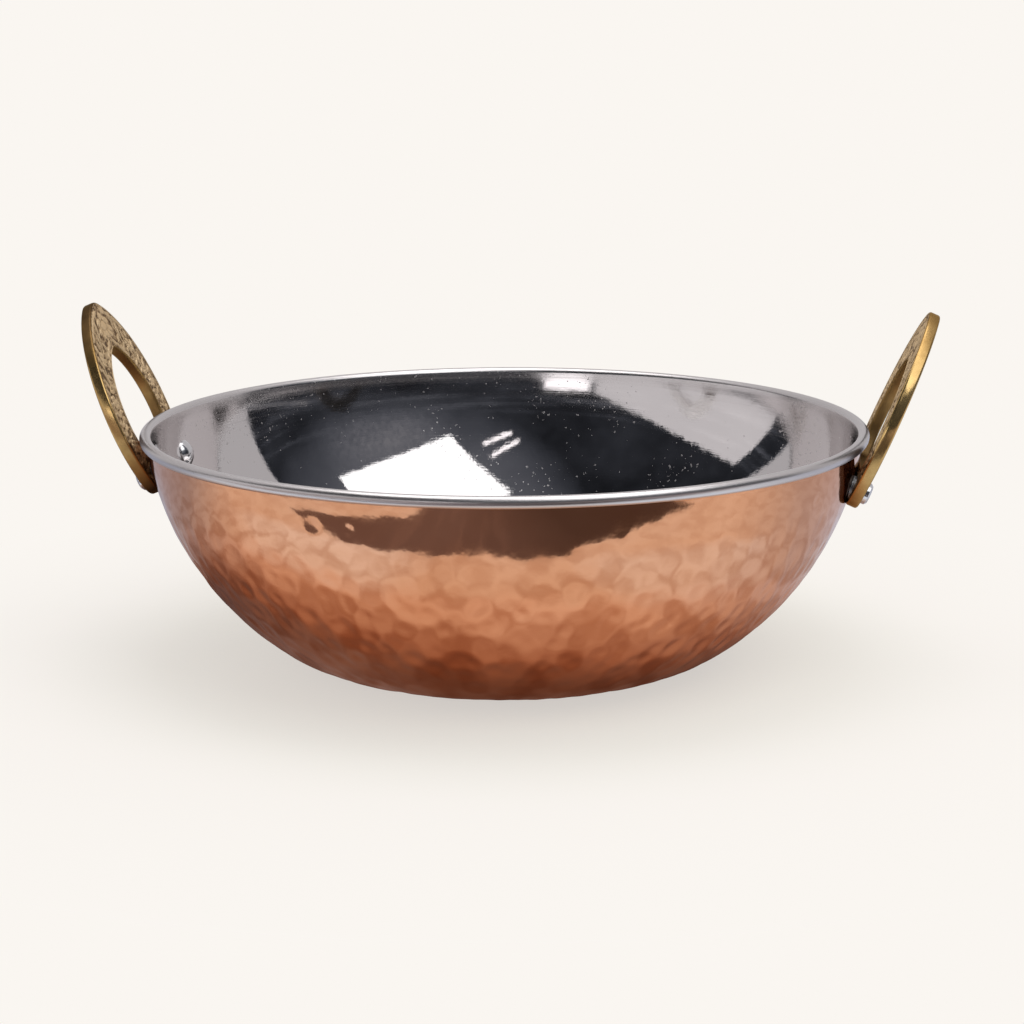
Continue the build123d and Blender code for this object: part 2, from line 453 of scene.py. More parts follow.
def relief_height(face, gap, seed):
    """Height share of the cast vine over a face of the plate, the same on both halves."""
    rng = np.random.default_rng(seed)
    rows, columns = gap.shape
    line = face[rows // 2]
    along = np.r_[0, np.cumsum(np.hypot(*np.diff(line, axis=0).T))]
    tip = columns // 2
    s = np.minimum(along, 2 * along[tip] - along)[None, :] * np.ones((rows, 1))
    half = np.hypot(*(face[-1] - face[0]).T) / 2
    t = np.linspace(-1, 1, rows)[:, None] * half[None, :]
    soft = relief_softness
    length = along[tip]

    def width_at(at):
        """Half of the face's width, at a distance along it."""
        return float(np.interp(at, along[: tip + 1], half[: tip + 1]))

    def stem_at(at):
        """How far the stem swings aside, at a distance along the face."""
        return stem_swing * width_at(at) * math.sin(2 * math.pi * at / stem_wave)

    wave = stem_swing * half[None, :] * np.sin(2 * math.pi * s / stem_wave)
    height = 0.8 * (1 - smooth_step(0.2 * MM, 0.42 * MM, np.abs(t - wave)))
    side = 1
    for at in np.arange(1.5 * MM, length - 9 * MM, leaf_spacing):
        room = width_at(at) - border_width
        size = room * rng.uniform(0.85, 1.1)
        angle = side * math.radians(rng.uniform(56, 76))
        base = (at, stem_at(at))
        height = np.maximum(height, leaf(s, t, base, angle, size, rng.uniform(1.2, 1.7) * MM, soft))
        dot = (at + rng.uniform(0.6, 1.1) * MM, side * room * rng.uniform(0.72, 0.92))
        height = np.maximum(height, 0.85 * oval(s, t, dot, (0.42 * MM, 0.42 * MM), soft))
        dot = (at + rng.uniform(-0.8, 0.8) * MM, -side * room * rng.uniform(0.3, 0.6))
        height = np.maximum(height, 0.7 * oval(s, t, dot, (0.36 * MM, 0.36 * MM), soft))
        side = -side
    for at in np.arange(flower_margin, length - flower_margin, flower_spacing):
        spot = (at, 0)
        clear = oval(s, t, spot, (3.1 * MM, 3.1 * MM), soft)
        height = np.where(clear > 0, 0, height)
        height = np.maximum(height, flower(s, t, spot, (2.6 * MM, 2.6 * MM), 6, soft))

    crown = (length, 0)
    height = np.where(oval(s, t, crown, (9 * MM, 5.6 * MM), soft) > 0, 0, height)
    height = np.maximum(height, flower(s, t, crown, (7.5 * MM, 4.6 * MM), 8, soft))
    for side in (-1, 1):
        for back in (2.0, 6.0, 10.0, 14.0):
            base = (length - back * MM, side * crown_leaf_rows * MM)
            height = np.maximum(height, leaf(s, t, base, math.pi - side * 0.12, 4.6 * MM, 1.7 * MM, soft))
    for _ in range(grain_count):
        spot = (rng.uniform(0, length), rng.uniform(-8, 8) * MM)
        size = rng.uniform(0.2, 0.34) * MM
        height = np.maximum(height, rng.uniform(0.25, 0.55) * oval(s, t, spot, (size, size), soft))

    border = 1 - smooth_step(border_width - 0.4 * MM, border_width - 0.15 * MM, gap)
    height = np.maximum(height * smooth_step(border_width, border_width + 0.25 * MM, gap), border)
    x, y = np.abs(face[..., 0]), face[..., 1]
    pad = 1 - smooth_step(pad_radius - 0.3 * MM, pad_radius, np.hypot(x - rivet_across, y - rivet_up))
    return np.maximum(height, pad)


def off_wall(r, z):
    """Distance outside the copper, positive outwards, for points level with the wall."""
    return np.hypot(r - wall_centre_r, z - wall_centre_z) - wall_radius


handle_normal = Vector(mount_axis("handle_opening_right"))
handle_up = Vector((-handle_normal.z, 0, handle_normal.x))
handle_origin = Vector((rim_radius + handle_rim_gap, 0, rim_height))


def to_row(points, height):
    """Plate coordinates and height off its inner face to the row's frame, for the right handle."""
    place = np.array(handle_origin) + points[..., 1:2] * np.array(handle_up)
    place = place + height[..., None] * np.array(handle_normal)
    place[..., 1] += points[..., 0]
    return place


def clear_of_wall(points, height):
    """Raise the inner face where it would come nearer to the copper than the plate's clearance."""
    for _ in range(settle_rounds):
        place = to_row(points, height)
        r, z = np.hypot(place[..., 0], place[..., 1]), place[..., 2]
        short = np.where(z < bead_centre_z, handle_wall_clearance - off_wall(r, z), 0)
        height = height + np.clip(short, 0, None)
    return height


def edge_wear_and_shade(outline, foot, most, tip):
    """How bright hands have worn the plate's outer edge, least at its tip and its foot: partly wear and
    partly painted shade.
    """
    shares = (foot, (foot + 0.8) / 2, 0.8, most, most - 0.1, tip + 0.1, tip)
    return np.interp(outline[:, 1] / MM, wear_heights, shares)


def store(piece, name, values):
    """Keep a value at each point of a piece for its material."""
    attribute = piece.data.attributes.new(name, "FLOAT", "POINT")
    attribute.data.foreach_set("value", np.stack(values).ravel().astype(np.float32))


def make_handle(side, material, seed):
    """Cast brass handle with a raised pattern on both faces: side is 1 at the right and -1 at the left."""
    counts = (relief_around * 23 // 100, relief_around * 27 // 100 + 2)
    outer = arch_outline(handle_width, handle_rise, handle_shoulder, handle_foot_width, handle_drop,
                         handle_foot_corner, handle_tip_radius, counts)
    inner = arch_outline(grip_width, grip_rise, grip_shoulder, grip_foot_width, grip_drop,
                         grip_corner, grip_corner, counts)
    width = np.hypot(*(inner - outer).T)
    quarter = np.linspace(0, math.pi / 2, edge_steps + 1)
    inset = handle_edge_radius * (1 - np.cos(quarter))
    lift = handle_edge_radius * (1 - np.sin(quarter))
    share = np.linspace(0, 1, relief_across)[:, None]
    flat = inset[-1] + share * (width - 2 * inset[-1])
    gap = np.minimum(flat, width - flat)

    def across(distance):
        """Points of the plate at a distance in from its outer edge."""
        return outer + (inner - outer) * (distance / width)[:, None]

    face = np.stack([across(row) for row in flat])
    outer_wear_and_shade = edge_wear_and_shade(outer, *(right_edge_wear if side > 0 else left_edge_wear_and_shade))
    # The opening's edge darkens towards the foot: partly wear and partly painted shade near the bowl
    inner_wear_and_shade = np.interp(inner[:, 1] / MM, [-12, 4], [0.15, 0.42])
    rows, heights, relief_and_shade, rubbed_and_shaded = [], [], [], []

    def add_edge(from_outer, on_top, order):
        """Rows of points round a rounded edge."""
        for k in order:
            rows.append(across(np.full(len(outer), inset[k]) if from_outer else width - inset[k]))
            heights.append(np.full(len(outer), handle_thickness - lift[k] if on_top else lift[k]))
            relief_and_shade.append(np.ones(len(outer)))
            rubbed_and_shaded.append(outer_wear_and_shade if from_outer else inner_wear_and_shade)

    def add_face(on_top, order):
        """Rows of points across a face, its pattern darker low down inside, as painted shade near the bowl.
        """
        raised = relief_height(face, gap, seed + (0 if on_top else 1))
        drop = relief_depth * (1 - raised)
        level = handle_thickness - drop if on_top else clear_of_wall(face, drop)
        # On the inner face this factor darkens the pattern towards the foot: painted shade near the bowl
        polish = 1.0 if on_top else 0.2 + 0.8 * smooth_step(-13 * MM, 6 * MM, face[..., 1])
        for k in order:
            rows.append(face[k])
            heights.append(level[k])
            relief_and_shade.append((0.9 * raised * polish)[k])
            rubbed_and_shaded.append(np.zeros(len(outer)))

    climb = range(edge_steps)
    add_edge(True, True, climb)
    add_face(True, range(relief_across))
    add_edge(False, True, reversed(climb))
    add_edge(False, False, climb)
    add_face(False, reversed(range(relief_across)))
    add_edge(True, False, reversed(climb))

    place = to_row(np.stack(rows), np.stack(heights))
    place[..., 0] *= side
    faces = grid_quads(len(rows), len(outer), closed_rows=True)
    if side > 0:
        faces = faces[:, ::-1]
    name = "handle_right" if side > 0 else "handle_left"
    handle = new_object(f"{name}_cast", place.reshape(-1, 3), faces.tolist(), material)
    # This attribute holds the raised pattern, with painted shade low on the inner face
    store(handle, "relief_and_shade", relief_and_shade)
    # This attribute holds the edge wear, with painted shade on the left edge and on the opening near the
    # foot
    store(handle, "rubbed_and_shaded", rubbed_and_shaded)
    carry(handle, name)


# Materials


class Nodes:
    """Short calls for building the node tree of a material or of the world."""

    def __init__(self, tree):
        self.tree = tree

    def add(self, kind, **settings):
        """New node of a kind, with its settings."""
        node = self.tree.nodes.new(kind)
        for key, value in settings.items():
            setattr(node, key, value)
        return node

    def feed(self, socket, source):
        """Link a socket to another one, or give it a number or a colour without its alpha."""
        if isinstance(source, bpy.types.NodeSocket):
            self.tree.links.new(source, socket)
        elif socket.type == "RGBA":
            socket.default_value = (*source, 1.0)
        else:
            socket.default_value = source

    def math(self, operation, *values):
        """Result of a math node."""
        node = self.add("ShaderNodeMath", operation=operation)
        for socket, value in zip(node.inputs, values):
            self.feed(socket, value)
        return node.outputs[0]

    def total(self, first, *rest):
        """Sum of values."""
        for value in rest:
            first = self.math("ADD", first, value)
        return first

    def product(self, first, *rest):
        """Product of values."""
        for value in rest:
            first = self.math("MULTIPLY", first, value)
        return first

    def minus(self, first, second):
        """First value less the second."""
        return self.math("SUBTRACT", first, second)

    def length(self, x, y):
        """Distance of (x, y) from the origin."""
        return self.math("SQRT", self.total(self.product(x, x), self.product(y, y)))

    def remap(self, value, low, high, to_low, to_high):
        """Value between low and high as one between to_low and to_high, held at both ends."""
        node = self.add("ShaderNodeMapRange")
        for socket, source in zip(node.inputs, (value, low, high, to_low, to_high)):
            self.feed(socket, source)
        return node.outputs["Result"]

    def rise(self, value, low, high):
        """0 below low, 1 above high."""
        return self.remap(value, low, high, 0.0, 1.0)

    def fall(self, value, low, high):
        """1 below low, 0 above high."""
        return self.remap(value, low, high, 1.0, 0.0)

    def band(self, value, low, high, soft):
        """1 between low and high, with soft ends, and 0 outside."""
        above = self.rise(value, low - soft, low + soft)
        below = self.fall(value, high - soft, high + soft)
        return self.product(above, below)

    def past_line(self, value, along, slope, offset):
        """How far a value lies past a line that climbs along another value, from offset."""
        return self.minus(self.minus(value, self.product(along, slope)), offset)

    def noise(self, vector, scale, detail, roughness):
        """Fractal noise around 0.5."""
        node = self.add("ShaderNodeTexNoise")
        self.feed(node.inputs["Vector"], vector)
        node.inputs["Scale"].default_value = scale
        node.inputs["Detail"].default_value = detail
        node.inputs["Roughness"].default_value = roughness
        return node.outputs["Fac"]

    def ramp(self, value, stops):
        """Colour along a ramp of two or more stops."""
        node = self.add("ShaderNodeValToRGB")
        self.feed(node.inputs["Fac"], value)
        while len(node.color_ramp.elements) < len(stops):
            node.color_ramp.elements.new(0.5)
        for element, (position, colour) in zip(node.color_ramp.elements, stops):
            element.position = position
            element.color = (*colour, 1.0)
        return node.outputs["Color"]

    def between(self, share, first, second):
        """Value that goes from the first to the second with share."""
        node = self.add("ShaderNodeMix", data_type="FLOAT")
        for index, source in ((0, share), (2, first), (3, second)):
            self.feed(node.inputs[index], source)
        return node.outputs[0]

    def mixed(self, share, first, second):
        """Colour that goes from the first to the second with share."""
        node = self.add("ShaderNodeMix", data_type="RGBA")
        for index, source in ((0, share), (6, first), (7, second)):
            self.feed(node.inputs[index], source)
        return node.outputs[2]

    def tinted(self, colour, share, tint):
        """A colour multiplied by a tint, as far as share goes."""
        node = self.add("ShaderNodeMix", data_type="RGBA", blend_type="MULTIPLY")
        for index, source in ((0, share), (6, colour), (7, tint)):
            self.feed(node.inputs[index], source)
        return node.outputs[2]

    def bump(self, height, strength, distance, normal=None):
        """Normal from a height, on top of another normal if there is one."""
        node = self.add("ShaderNodeBump")
        node.inputs["Strength"].default_value = strength
        node.inputs["Distance"].default_value = distance
        self.feed(node.inputs["Height"], height)
        if normal is not None:
            self.feed(node.inputs["Normal"], normal)
        return node.outputs["Normal"]

    def place(self):
        """Place on the object, in metres."""
        return self.add("ShaderNodeTexCoord").outputs["Object"]

    def attribute(self, name):
        """Value stored at the mesh's points."""
        return self.add("ShaderNodeAttribute", attribute_name=name).outputs["Fac"]

    def rays(self):
        """What kind of ray asks for the colour."""
        return self.add("ShaderNodeLightPath").outputs

    def split(self, vector):
        """x, y and z of a vector."""
        node = self.add("ShaderNodeSeparateXYZ")
        self.feed(node.inputs[0], vector)
        return node.outputs

    def vector(self, *values):
        """Vector from its x, y and z, where z may be left out."""
        node = self.add("ShaderNodeCombineXYZ")
        for socket, value in zip(node.inputs, values):
            self.feed(socket, value)
        return node.outputs[0]

    def around(self, turn_scale, height_scale):
        """Place as a point on a cylinder, so that a pattern can run round the bowl with no seam."""
        x, y, z = self.split(self.place())
        radius = self.math("MAXIMUM", self.length(x, y), 0.1 * MM)
        turn_x = self.product(self.math("DIVIDE", x, radius), turn_scale)
        turn_y = self.product(self.math("DIVIDE", y, radius), turn_scale)
        climb = self.total(z, self.product(radius, 0.6))
        return self.vector(turn_x, turn_y, self.product(climb, height_scale))

    def glow(self, kind, colour, strength):
        """Light of a colour, from an emission or a background node."""
        node = self.add(kind)
        self.feed(node.inputs["Color"], colour)
        self.feed(node.inputs["Strength"], strength)
        return node.outputs[0]

    def blend(self, share, first, second):
        """Shader that goes from the first to the second with share."""
        node = self.add("ShaderNodeMixShader")
        for index, source in enumerate((share, first, second)):
            self.feed(node.inputs[index], source)
        return node.outputs[0]


def new_material(name):
    """A new material, the calls for its nodes, and its shader."""
    material = bpy.data.materials.new(name)
    material.use_nodes = True
    tree = material.node_tree
    return material, Nodes(tree), tree.nodes["Principled BSDF"]


# Copper: the two ends of its colour, and the heights between which it gets brighter
copper_deep = (0.69, 0.325, 0.172)
copper_light = (0.76, 0.39, 0.225)
dull_below = 34 * MM
bright_above = 64 * MM


def copper_material():
    """Polished copper with soft colour drift and fine scratches, a little duller towards the base."""
    material, nodes, shader = new_material("copper_hammered")
    place = nodes.place()
    _, _, z = nodes.split(place)
    drift = nodes.noise(place, 26.0, 4.0, 0.6)
    nodes.feed(shader.inputs["Base Color"], nodes.ramp(drift, [(0.3, copper_deep), (0.7, copper_light)]))
    shader.inputs["Metallic"].default_value = 1.0
    smear = nodes.noise(nodes.around(14.0, 260.0), 1.0, 4.0, 0.6)
    polish = nodes.remap(smear, 0.3, 0.75, 0.05, 0.12)
    dulled = nodes.remap(z, dull_below, bright_above, 0.1, 0.0)
    nodes.feed(shader.inputs["Roughness"], nodes.total(polish, dulled))
    fine = nodes.noise(place, 210.0, 2.0, 0.5)
    nodes.feed(shader.inputs["Normal"], nodes.bump(fine, 0.12, 0.4 * MM))
    return material


# Steel: radii between which the roughness of its lip and of its bead comes in
lip_radii = (117 * MM, 119.5 * MM)
bead_radii = (120.5 * MM, 121.5 * MM)


def steel_material():
    """Mirror steel with faint rings, specks and ripples of polishing, rougher on its bead."""
    material, nodes, shader = new_material("steel_polished")
    place = nodes.place()
    x, y, _ = nodes.split(place)
    shader.inputs["Metallic"].default_value = 1.0
    shader.inputs["Base Color"].default_value = (0.645, 0.62, 0.615, 1.0)
    rings = nodes.noise(nodes.around(2.0, 1400.0), 1.0, 3.0, 0.6)
    specks = nodes.noise(place, 850.0, 1.0, 0.4)
    patches = nodes.noise(place, 34.0, 2.0, 0.5)
    limit = nodes.remap(patches, 0.45, 0.62, 0.80, 0.70)
    speckled = nodes.product(nodes.math("GREATER_THAN", specks, limit), 0.4)
    reach = nodes.length(x, y)
    lip = nodes.remap(reach, *lip_radii, 0.0, 0.05)
    bead = nodes.remap(reach, *bead_radii, 0.0, 0.24)
    polish = nodes.total(nodes.remap(rings, 0.45, 0.72, 0.025, 0.075), lip, bead)
    nodes.feed(shader.inputs["Roughness"], nodes.math("MAXIMUM", polish, speckled))
    ripple = nodes.bump(nodes.noise(place, 170.0, 3.0, 0.6), 0.045, 0.6 * MM)
    nodes.feed(shader.inputs["Normal"], nodes.bump(rings, 0.035, 0.2 * MM, ripple))
    return material


# Brass: its face from recess to high, its edge from dark to worn bright, and how the polished metal shows
# it, as painted shade and a painted reflection
face_colours = (
    (0.0, (0.10, 0.055, 0.025)),
    (0.12, (0.33, 0.21, 0.11)),
    (0.32, (0.62, 0.45, 0.26)),
    (0.8, (0.88, 0.68, 0.43)),
)
edge_colours = (
    (0.0, (0.085, 0.05, 0.024)),
    (0.5, (0.37, 0.225, 0.08)),
    (0.95, (0.76, 0.52, 0.215)),
)
# Painted shade and painted reflection: the handles' colours in the steel and the copper
mirrored_foot = (0.07, 0.035, 0.02)
mirrored_arch = (0.02, 0.02, 0.022)
mirrored_left_arch = (0.72, 0.70, 0.70)


def mirrored_brass(nodes, place):
    """Painted colour of a handle in a mirror: dark, as painted shade, and on the left pale above the rim, as
    a painted reflection.
    """
    x, _, z = nodes.split(place)
    foot = nodes.fall(z, 84 * MM, 90 * MM)
    left = nodes.math("LESS_THAN", x, 0.0)
    left_arch = nodes.product(left, nodes.rise(z, 89 * MM, 93 * MM))
    return nodes.mixed(left_arch, nodes.mixed(foot, mirrored_arch, mirrored_foot), mirrored_left_arch)


def brass_material():
    """Antique brass: dark in the recesses of the casting, tan on its highs, golden on the worn edges, with
    painted shade low on the inner face and on the left edge.
    """
    material, nodes, shader = new_material("brass_antique")
    place = nodes.place()
    # This attribute holds the raised pattern, with painted shade low on the inner face
    relief_and_shade = nodes.attribute("relief_and_shade")
    # This attribute holds the edge wear, with painted shade on the left edge and on the opening near the
    # foot
    rubbed_and_shaded = nodes.attribute("rubbed_and_shaded")
    stain = nodes.noise(place, 380.0, 5.0, 0.7)
    off_edge = nodes.remap(relief_and_shade, 0.9, 1.0, 1.0, 0.12)
    stained = nodes.product(nodes.minus(stain, 0.5), off_edge, 1.9)
    face = nodes.ramp(nodes.total(relief_and_shade, 0.1, stained), face_colours)
    scuffed = nodes.remap(nodes.noise(place, 90.0, 3.0, 0.6), 0.3, 0.7, -0.12, 0.12)
    shine = nodes.total(rubbed_and_shaded, scuffed)
    on_edge = nodes.rise(relief_and_shade, 0.92, 0.99)
    colour = nodes.mixed(on_edge, face, nodes.ramp(shine, edge_colours))
    # In reflections the brass shows the painted shade and painted reflection of mirrored_brass instead of
    # its own colour
    shown = nodes.mixed(nodes.rays()["Is Glossy Ray"], colour, mirrored_brass(nodes, place))
    nodes.feed(shader.inputs["Base Color"], shown)
    metallic = nodes.remap(relief_and_shade, 0.1, 0.7, 0.55, 1.0)
    nodes.feed(shader.inputs["Metallic"], nodes.minus(metallic, nodes.product(on_edge, 0.05)))
    shader.inputs["Specular Tint"].default_value = (0.82, 0.70, 0.52, 1.0)
    face_roughness = nodes.remap(relief_and_shade, 0.9, 1.0, 0.48, 0.0)
    edge_roughness = nodes.product(on_edge, nodes.remap(shine, 0.3, 0.95, 0.42, 0.13))
    grain = nodes.remap(nodes.noise(place, 480.0, 3.0, 0.6), 0.3, 0.7, -0.03, 0.04)
    nodes.feed(shader.inputs["Roughness"], nodes.total(face_roughness, edge_roughness, grain))
    nodes.feed(shader.inputs["Normal"], nodes.bump(nodes.product(stain, off_edge), 0.5, 0.3 * MM))
    return material


def rivet_material(name, grey, low, high):
    """Steel with the faint marks of the rivet set, of a grey and a range of roughness."""
    material, nodes, shader = new_material(name)
    shader.inputs["Metallic"].default_value = 1.0
    shader.inputs["Base Color"].default_value = (grey, grey, grey * 1.01, 1.0)
    marks = nodes.noise(nodes.place(), 700.0, 3.0, 0.6)
    nodes.feed(shader.inputs["Roughness"], nodes.remap(marks, 0.3, 0.7, low, high))
    nodes.feed(shader.inputs["Normal"], nodes.bump(marks, 0.2, 0.1 * MM))
    return material


# Studio

cream = (0.956, 0.922, 0.880)
soft_light = (1.0, 0.99, 0.98)
soft_level = 0.5
key_centre = (0.591, -0.446, 1.115)
floor_reach = 12.0
floor_corners = ((-1, -1), (1, -1), (1, 1), (-1, 1))

# Colours of the floor in the metal, painted shade round the base, by distance from the bowl's middle as a
# share of tone_reach
tone_reach = 0.2
floor_tones = (
    (0.40, (0.16, 0.08, 0.055)),
    (0.45, (0.25, 0.13, 0.09)),
    (0.49, (0.42, 0.24, 0.17)),
    (0.55, (0.57, 0.40, 0.32)),
    (0.60, (0.74, 0.60, 0.53)),
    (0.65, (0.80, 0.69, 0.64)),
    (0.72, (0.81, 0.76, 0.73)),
    (1.0, (0.83, 0.86, 0.91)),
)
shaded_floor = ((0.4, (0.91, 0.97, 0.83)), (0.85, cream))
cool_tint = (1.08, 1.25, 1.45)
inmost_tint = (1.5, 1.9, 2.3)
# Painted caustics in the floor that the metal shows: mottled shade and light near the base
caustic_dark_tint = (0.80, 0.66, 0.58)
caustic_light_tint = (1.12, 1.12, 1.12)
# Painted shade of the floor in the metal: behind the bowl, more at its left, and past the far front
behind_tint = (0.66, 0.67, 0.74)
behind_left_tint = (0.72, 0.72, 0.74)
far_tint = (0.42, 0.34, 0.33)
band_left = (0.19, 0.158, 0.172)
band_right = (0.095, 0.078, 0.08)
band_gleam = (0.30, 0.25, 0.26)

# Room in the metal, in degrees: azimuth from the front towards +X, and elevation
wall_level = 0.60
card_level = 0.77
window_level = 1.9
window_azimuth = (-23.5, -7.5)
window_elevation = (2.0, 9.6)
mirrored_level = 0.9
room_tints = ((0.04, (0.84, 0.91, 1.12)), (0.34, (0.97, 0.935, 0.955)))

# Lamp strips: azimuths of the ends and their softness, climb with azimuth, elevation at 0, half width, level
lamp_strips = (
    (4.0, 15.0, 0.3, 0.45, 27.2, 0.9, 1.7),
    (1.0, 12.5, 0.3, 0.6, 32.0, 0.9, 1.7),
    (79.0, 106.0, 2.0, -0.16, 19.4, 0.3, 0.35),
)


def make_camera():
    """Camera at the photograph's angle."""
    data = bpy.data.cameras.new("camera")
    camera = bpy.data.objects.new("camera", data)
    bpy.context.scene.collection.objects.link(camera)
    data.sensor_width = 36.0
    data.lens = camera_focus / frame_width * data.sensor_width
    cosine, sine = math.cos(camera_elevation), math.sin(camera_elevation)
    back = Vector((math.sin(camera_azimuth) * cosine, -math.cos(camera_azimuth) * cosine, sine))
    right = Vector((math.cos(camera_azimuth), math.sin(camera_azimuth), 0))
    up = back.cross(right)
    target = right * camera_aside + Vector((0, 0, camera_target_height))
    rolled = Matrix.Rotation(camera_roll, 3, back)
    axes = Matrix((rolled @ right, rolled @ up, back)).transposed()
    camera.matrix_world = Matrix.Translation(target + back * camera_distance) @ axes.to_4x4()
    bpy.context.scene.camera = camera


def floor_shade(nodes, place, x, y):
    """The floor in the metal without its dark band: pale, and in copper-lit shade round the base."""
    squeeze = nodes.remap(x, -0.03, 0.06, 0.76, 0.91)
    reach = nodes.length(nodes.product(nodes.total(x, 0.015), squeeze), y)
    share = nodes.product(reach, 1 / tone_reach)
    shade = nodes.ramp(share, floor_tones)

    aside = nodes.math("ABSOLUTE", nodes.minus(x, 0.015))
    cool = nodes.product(nodes.band(share, 0.65, 0.90, 0.04), nodes.rise(aside, 0.045, 0.075))
    in_front = nodes.fall(nodes.minus(y, nodes.product(x, 0.15)), -0.075, -0.045)
    shade = nodes.tinted(shade, nodes.product(cool, in_front), cool_tint)
    inmost = nodes.product(nodes.fall(share, 0.40, 0.47), nodes.fall(x, -0.035, -0.015))
    shade = nodes.tinted(shade, inmost, inmost_tint)

    # Painted caustics: mottled light and shade that the hammered copper throws on the floor near the base
    caustic_spots = nodes.rise(nodes.noise(place, 62.0, 2.0, 0.5), 0.42, 0.62)
    near = nodes.remap(reach, 0.13, 0.20, 1.0, 0.45)
    painted_caustics = nodes.mixed(nodes.product(caustic_spots, near), caustic_light_tint, caustic_dark_tint)
    shade = nodes.tinted(shade, 1.0, painted_caustics)

    # Painted shade: the floor in the metal dimmer behind the bowl, more so at the left, and dark past the
    # far front
    behind = nodes.rise(y, -0.09, 0.02)
    shade = nodes.tinted(shade, behind, behind_tint)
    behind_left = nodes.product(behind, nodes.fall(x, -0.12, -0.06))
    shade = nodes.tinted(shade, behind_left, behind_left_tint)
    far = nodes.product(nodes.rise(nodes.length(x, y), 0.283, 0.291), nodes.fall(y, -0.17, -0.14))
    return nodes.tinted(shade, far, far_tint)


def front_band(nodes, x, y):
    """1 in the dark band across the floor's far front, less a light strip at its left, and 0 elsewhere."""
    past = nodes.math("MAXIMUM", nodes.minus(x, 0.1), 0.0)
    bend = nodes.product(past, past, 1.5)
    step = nodes.remap(x, 0.01, 0.05, 0.0, 0.01)
    rise_left = nodes.remap(x, -0.09, 0.0, 0.020, 0.002)
    near_edge = nodes.minus(nodes.total(bend, step, rise_left), 0.185)
    beyond = nodes.rise(nodes.minus(near_edge, y), -0.001, 0.001)
    slant = nodes.total(y, nodes.product(nodes.total(x, 0.093), 0.6))
    strip = nodes.product(nodes.fall(x, -0.066, -0.06), nodes.fall(slant, -0.227, -0.223))
    return nodes.product(beyond, nodes.band(x, -0.192, 0.215, 0.002), nodes.minus(1.0, strip))


def band_shade(nodes, x, y):
    """Colour of the dark band, darker at the right, with upright gleams left of the middle."""
    deep = nodes.mixed(nodes.rise(x, -0.02, 0.08), band_left, band_right)
    upright = nodes.vector(nodes.product(x, 55.0), nodes.product(y, 5.0))
    gleam = nodes.rise(nodes.noise(upright, 1.0, 1.0, 0.5), 0.48, 0.75)
    gleam = nodes.product(gleam, nodes.band(x, -0.07, 0.015, 0.02))
    return nodes.mixed(gleam, deep, band_gleam)


def make_floor():
    """Pale floor that keeps the shadow near the bowl and fades to the backdrop's colour further out."""
    material, nodes, shader = new_material("floor_plain")
    shader.inputs["Roughness"].default_value = 0.9
    shader.inputs["Specular IOR Level"].default_value = 0.0
    place = nodes.place()
    x, y, _ = nodes.split(place)
    distance = nodes.length(x, y)
    tone = nodes.ramp(nodes.product(distance, 1 / tone_reach), shaded_floor)
    nodes.feed(shader.inputs["Base Color"], tone)
    rays = nodes.rays()
    plain = nodes.product(nodes.remap(distance, 0.12, 0.27, 0.62, 1.0), rays["Is Camera Ray"])
    seen = nodes.blend(plain, shader.outputs[0], nodes.glow("ShaderNodeEmission", cream, 1.0))
    shade = nodes.mixed(front_band(nodes, x, y), floor_shade(nodes, place, x, y), band_shade(nodes, x, y))
    in_metal = nodes.glow("ShaderNodeEmission", shade, 1.0)
    surface = nodes.blend(rays["Is Glossy Ray"], seen, in_metal)
    nodes.feed(nodes.tree.nodes["Material Output"].inputs["Surface"], surface)
    corners = [(x_side * floor_reach, y_side * floor_reach, 0) for x_side, y_side in floor_corners]
    floor = new_object("floor", corners, [(0, 1, 2, 3)], material)


def room_gloom(nodes, direction, azimuth, elevation):
    """The dark side of the room: murk, level streaks and a haze towards the right."""
    murk = nodes.remap(nodes.noise(direction, 2.6, 3.0, 0.6), 0.35, 0.7, 0.012, 0.04)
    stretched = nodes.vector(nodes.product(azimuth, 0.012), nodes.product(elevation, 0.3))
    streaks = nodes.remap(nodes.noise(stretched, 1.6, 4.0, 0.65), 0.52, 0.72, 0.0, 0.2)
    streaks = nodes.product(streaks, nodes.band(elevation, 3.0, 18.0, 4.0))
    cloud = nodes.remap(nodes.noise(direction, 46.0, 4.0, 0.7), 0.38, 0.68, 0.02, 0.14)
    right = nodes.band(azimuth, 34.0, 72.0, 10.0)
    haze = nodes.product(right, nodes.band(elevation, 17.0, 32.0, 4.0), cloud)
    return nodes.total(murk, streaks, haze)


def light_card(nodes, direction, azimuth, elevation):
    """1 on the light card at the left front, under a ragged arch, and 0 outside."""
    ragged = nodes.product(nodes.minus(nodes.noise(direction, 34.0, 4.0, 0.7), 0.5), 3.4)
    off = nodes.total(azimuth, 80.0)
    arch = nodes.minus(22.3, nodes.product(off, off, 0.0041))
    under = nodes.rise(nodes.total(nodes.minus(arch, elevation), ragged), -0.3, 0.3)
    far_end = nodes.rise(nodes.past_line(azimuth, elevation, 0.62, -103.6), -0.4, 0.4)
    return nodes.product(far_end, nodes.fall(azimuth, -25.9, -25.1), under)


def seen_twice(nodes, azimuth, elevation, depth):
    """1 where the second mirroring of a ray shows the pale side of the room low down, and 0 elsewhere."""
    again = nodes.math("GREATER_THAN", depth, 1.5)
    sides = nodes.minus(1.0, nodes.band(azimuth, -1.0, 27.0, 1.0))
    crack = nodes.product(nodes.band(azimuth, -44.0, -38.5, 0.5), 0.8)
    low_down = nodes.fall(elevation, 24.0, 34.0)
    return nodes.product(again, sides, nodes.minus(1.0, crack), low_down)


